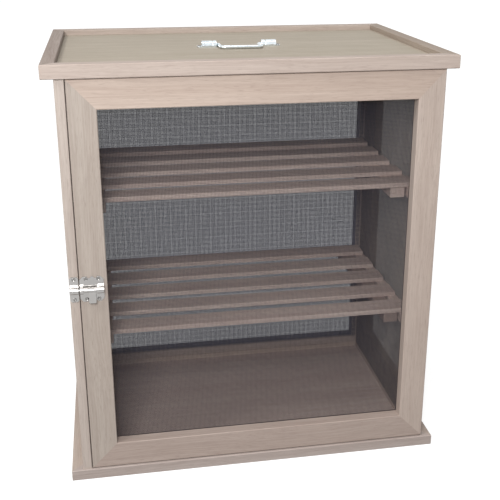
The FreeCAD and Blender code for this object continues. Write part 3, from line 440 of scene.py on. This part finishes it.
def wire_cloth(name, node, body, width, wire, threads=None, frame_opening=None, lapped=False):
    """Fine wire cloth in the place of a node's sheet, of flattened wires of a given width and finish.

    Where `threads` is given, it is the material of a flat sheet halfway through the cloth, as large
    as the frame's opening; where the cloth lies on its frame, only the wires lie on the wood.  With
    `lapped`, the wires end a short lap below and above the opening.

    Wires at an even pitch run across the sheet in its front half and up it in its back half.  A
    wire's section is a hexagon: centre + (width / 2 cos a, depth / (2 sin 60) sin a) for a = 0, 60,
    ... 300 degrees, where the depth is half the sheet's, so that its flat sides are that far apart.
    """
    low, high = (np.array(corner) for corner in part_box(node))
    thin = int(np.argmin(high - low))
    first, second = [axis for axis in range(3) if axis != thin]
    if lapped:
        low[2], high[2] = frame_opening[0][2] - CLOTH_LAP, frame_opening[1][2] + CLOTH_LAP
    size = high - low
    angles = np.arange(WIRE_SIDES) * 2 * np.pi / WIRE_SIDES
    across, deep = np.cos(angles) * width / 2, np.sin(angles) / np.sin(np.pi / 3) * size[thin] / 4
    sets = []
    for run, step, side in ((first, second, 0.25), (second, first, 0.75)):
        count = int(round((size[step] - width) / MESH_PITCH)) + 1
        rings = np.empty((count, 2, WIRE_SIDES, 3))
        rings[:, 0, :, run] = low[run]
        rings[:, 1, :, run] = high[run]
        middle = np.linspace(low[step] + width / 2, high[step] - width / 2, count)
        rings[..., step] = middle[:, None, None] + across
        rings[..., thin] = low[thin] + side * size[thin] + deep
        sets.append(rings)
    points = np.concatenate(sets)
    here = np.arange(WIRE_SIDES)
    after = (here + 1) % WIRE_SIDES
    walls = np.stack([here, after, after + WIRE_SIDES, here + WIRE_SIDES], 1)
    starts = 2 * WIRE_SIDES * np.arange(len(points))
    faces = (walls[None] + starts[:, None, None]).reshape(-1, 4).tolist()
    faces += (here[None, ::-1] + starts[:, None]).tolist()
    faces += (here[None] + WIRE_SIDES + starts[:, None]).tolist()
    points = points.reshape(-1, 3)
    if threads:
        sheet = np.tile((low + high) / 2, (4, 1))
        low, high = frame_opening
        sheet[[0, 3], first], sheet[[1, 2], first] = low[first], high[first]
        sheet[[0, 1], second], sheet[[2, 3], second] = low[second], high[second]
        faces.append([len(points) + corner for corner in range(4)])
        points = np.concatenate([points, sheet])
    cloth = piece(name, points, faces, wire, body, node)
    if threads:
        cloth.data.materials.append(threads)
        cloth.data.polygons[len(faces) - 1].material_index = 1


wire_cloth("door_wire_cloth", "door_screen", "door", DOOR_WIRE_WIDTH, DOOR_WIRE)
wire_cloth("back_wire_cloth", "back_screen", "root", BACK_WIRE_WIDTH, WIRE, BACK_THREADS_AND_SHADE,
           opening(["back_left_stile", "back_right_stile"], ["back_bottom_rail", "back_top_rail"]),
           lapped=True)
for side in ("left", "right"):
    wire_cloth(side + "_side_wire_cloth", side + "_side_screen", "root", SIDE_WIRE_WIDTH, SIDE_WIRE_PAINTED_SHEEN,
               SIDE_THREADS_AND_LIGHT, opening([side + "_front_stile", side + "_rear_stile"],
                                     [side + "_bottom_rail", side + "_top_rail"]))


# a screw's half section in millimetres: distance from the axis and height over the plate it sits on;
# the last point is the shank's end, whose height is set for each screw
SCREW_HEAD = [(0.30, 0.45), (0.42, 1.10), (1.00, 1.28), (1.70, 1.10), (2.25, 0.66), (2.48, 0.20),
              (2.50, 0.0), (1.20, 0.0), (1.20, -0.5)]
SCREW_SECTORS = 32
# the cross in the head: half an arm's width, its reach from the axis, its depth, and the height
# above which it cuts
CROSS_HALF_WIDTH, CROSS_REACH, CROSS_DEPTH, CROSS_FLOOR = 0.28 * MM, 1.75 * MM, 0.55 * MM, 0.5 * MM


def loose_parts(mesh):
    """The corners of a mesh's separate solids, one array each, joined by their edges."""
    points = np.empty(len(mesh.vertices) * 3)
    mesh.vertices.foreach_get("co", points)
    points = points.reshape(-1, 3)
    same = np.unique(np.round(points, 6), axis=0, return_inverse=True)[1].reshape(-1)
    edges = np.empty(len(mesh.edges) * 2, int)
    mesh.edges.foreach_get("vertices", edges)
    edges = same[edges.reshape(-1, 2)]
    label = np.arange(same.max() + 1)
    while True:
        lowest = np.minimum(label[edges[:, 0]], label[edges[:, 1]])
        before = label.copy()
        np.minimum.at(label, edges[:, 0], lowest)
        np.minimum.at(label, edges[:, 1], lowest)
        if (label == before).all():
            break
    return [points[label[same] == one] for one in np.unique(label)]


def screw_place(corners):
    """Where a screw's head sits on its plate, the way out of the plate, and its shank's length."""
    low, high = corners.min(0), corners.max(0)
    axis = int(np.argmax(high - low))
    centre = (low + high) / 2
    wide = np.linalg.norm(np.delete(corners - centre, axis, 1), axis=1).round(5)
    seat = corners[wide == wide.max()][0, axis]
    out = np.zeros(3)
    out[axis] = 1 if high[axis] - seat < seat - low[axis] else -1
    centre[axis] = seat
    return centre, out, high[axis] - low[axis] - abs((high if out[axis] > 0 else low)[axis] - seat)


def screws(name, node, body):
    """Round-headed, cross-recessed screws in the place of a node's plain ones.

    A head is a turned section, r(h) from SCREW_HEAD, with the cross sunk into it: where a point of
    its crown lies close to either arm's middle line and within the arms' reach of the axis, its
    height drops by the cross's depth.
    """
    section = np.array(SCREW_HEAD) * MM
    turn = np.arange(SCREW_SECTORS) * 2 * np.pi / SCREW_SECTORS
    rings = np.zeros((len(section), SCREW_SECTORS, 3))
    rings[..., 0] = section[:, :1] * np.cos(turn)
    rings[..., 1] = section[:, :1] * np.sin(turn)
    rings[..., 2] = section[:, 1:]
    arm = np.minimum(abs(rings[..., 0]), abs(rings[..., 1])) < CROSS_HALF_WIDTH
    reach = np.hypot(rings[..., 0], rings[..., 1]) < CROSS_REACH
    rings[..., 2] -= np.where(arm & reach & (rings[..., 2] > CROSS_FLOOR), CROSS_DEPTH, 0)
    here = np.arange(SCREW_SECTORS)
    after = (here + 1) % SCREW_SECTORS
    walls = [np.stack([here + row * SCREW_SECTORS, here + (row + 1) * SCREW_SECTORS,
                       after + (row + 1) * SCREW_SECTORS, after + row * SCREW_SECTORS], 1)
             for row in range(len(section) - 1)]
    walls = np.concatenate(walls).tolist()
    caps = [here.tolist(), (here[::-1] + (len(section) - 1) * SCREW_SECTORS).tolist()]
    points, faces = [], []
    for corners in loose_parts(NODES[node].data):
        centre, out, length = screw_place(corners)
        shape = rings.copy()
        shape[-1, :, 2] = -length
        side = np.roll(out, 1)
        frame_axes = np.stack([side, np.cross(out, side), out])
        start = len(points) * shape[..., 0].size
        points.append(shape.reshape(-1, 3) @ frame_axes + centre)
        faces += [[index + start for index in face] for face in walls + caps]
    piece(name, np.concatenate(points), faces, PLATING_PAINTED_DARK, body, node)


screws("case_round_head_screws", "case_screws", "root")
screws("door_round_head_screws", "door_screws", "door")


# ---------------------------------------------------------------- floor and light
def seen_directly(tree):
    """One where a ray comes from the camera, a mirror or a clear body, and zero elsewhere."""
    path = tree.add("ShaderNodeLightPath").outputs
    seen = tree.math("MAXIMUM", path["Is Camera Ray"], path["Is Glossy Ray"])
    return tree.math("MAXIMUM", seen, path["Is Transmission Ray"])


FLOOR_REACH = 30.0
FLOOR_GREY = 0.30
FLOOR_GLOW = 0.86


def add_floor():
    """A plain floor that is white where it is seen and keeps the cupboard's shadow."""
    mesh = bpy.data.meshes.new("floor")
    corners = [(-1, -1, 0), (1, -1, 0), (1, 1, 0), (-1, 1, 0)]
    mesh.from_pydata((np.array(corners) * FLOOR_REACH).tolist(), [], [(0, 1, 2, 3)])
    floor = bpy.data.objects.new("floor", mesh)
    bpy.context.scene.collection.objects.link(floor)
    material, tree, shader = new_material("floor_white")
    shader["Base Color"].default_value = (FLOOR_GREY, FLOOR_GREY, FLOOR_GREY, 1)
    shader["Roughness"].default_value = 0.9
    shader["Specular IOR Level"].default_value = 0.0
    glow = tree.add("ShaderNodeEmission")
    tree.feed(glow.inputs["Strength"], tree.math("MULTIPLY", seen_directly(tree), FLOOR_GLOW))
    both = tree.add("ShaderNodeAddShader")
    tree.feed(both.inputs[0], material.node_tree.nodes["Principled BSDF"].outputs[0])
    tree.feed(both.inputs[1], glow.outputs[0])
    tree.feed(material.node_tree.nodes["Material Output"].inputs["Surface"], both.outputs[0])
    mesh.materials.append(material)


def add_world(fill):
    """White where it is seen, and a soft fill where it only lights."""
    world = bpy.data.worlds.new("studio")
    world.use_nodes = True
    bpy.context.scene.world = world
    tree = Tree(world.node_tree)
    for node in list(world.node_tree.nodes):
        world.node_tree.nodes.remove(node)
    soft = tree.add("ShaderNodeBackground")
    soft.inputs["Strength"].default_value = fill
    white = tree.add("ShaderNodeBackground")
    mixed = tree.add("ShaderNodeMixShader")
    for background in (soft, white):
        background.inputs["Color"].default_value = (1, 1, 1, 1)
    tree.feed(mixed.inputs[0], seen_directly(tree))
    tree.feed(mixed.inputs[1], soft.outputs[0])
    tree.feed(mixed.inputs[2], white.outputs[0])
    tree.feed(tree.add("ShaderNodeOutputWorld").inputs["Surface"], mixed.outputs[0])


def add_panel(power, size, place, target):
    """A soft square lamp that looks at a point."""
    data = bpy.data.lights.new("panel", "AREA")
    data.energy = power
    data.size = size
    panel = bpy.data.objects.new("panel", data)
    bpy.context.scene.collection.objects.link(panel)
    place = Vector(place)
    turn = (place - Vector(target)).to_track_quat("Z", "Y").to_matrix().to_4x4()
    panel.matrix_world = Matrix.Translation(place) @ turn


def add_sun(strength, azimuth, height, softness):
    """A soft sun, in degrees: azimuth to the left of the door's front, height above the floor."""
    data = bpy.data.lights.new("key", "SUN")
    data.energy = strength
    data.angle = math.radians(softness)
    sun = bpy.data.objects.new("key", data)
    bpy.context.scene.collection.objects.link(sun)
    turn, rise = math.radians(azimuth), math.radians(height)
    towards = Vector((-math.sin(turn) * math.cos(rise), -math.cos(turn) * math.cos(rise),
                      math.sin(rise)))
    sun.matrix_world = towards.to_track_quat("Z", "Y").to_matrix().to_4x4()


add_floor()
add_world(fill=0.30)
# light from above, light from the left, and the soft lamp near the camera
add_sun(0.50, azimuth=10, height=82, softness=25)
add_sun(1.07, azimuth=63, height=47, softness=14)
add_panel(17.2, 0.5, place=(-0.36, -1.32, 1.04), target=(0, -0.15, 0.42))
bpy.context.scene.view_settings.view_transform = "Standard"
